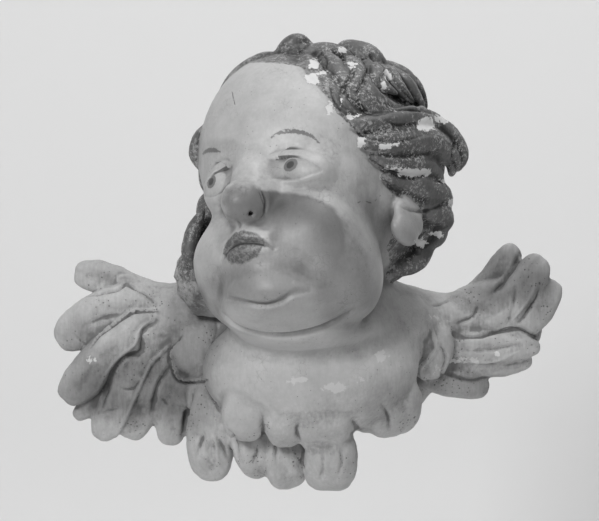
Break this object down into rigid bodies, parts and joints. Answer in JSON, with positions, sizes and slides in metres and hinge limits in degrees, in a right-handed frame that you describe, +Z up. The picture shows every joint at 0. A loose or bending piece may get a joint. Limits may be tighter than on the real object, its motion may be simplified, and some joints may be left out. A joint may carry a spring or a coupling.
{
  "type": "cherub wall plaque",
  "caption": "Winged cherub's head carved in one block, turned to one side and looking up, with curled hair, spread wings, a ruff of breast feathers and a flat back that lies on a wall.",
  "frame": {"origin": "on the flat back, in the plane of the wall, behind the neck", "axes": "+X towards the viewer's right along the spread of the wings, +Y into the wall, +Z up"},
  "size_m": [0.3903, 0.1952, 0.3459],
  "materials": {
    "aged_painted_wood": "old matt paint over a white ground, worn and chipped"
  },
  "bodies": {
    "root": {"winged_cherub_head": "aged_painted_wood"}
  },
  "joints": []
}
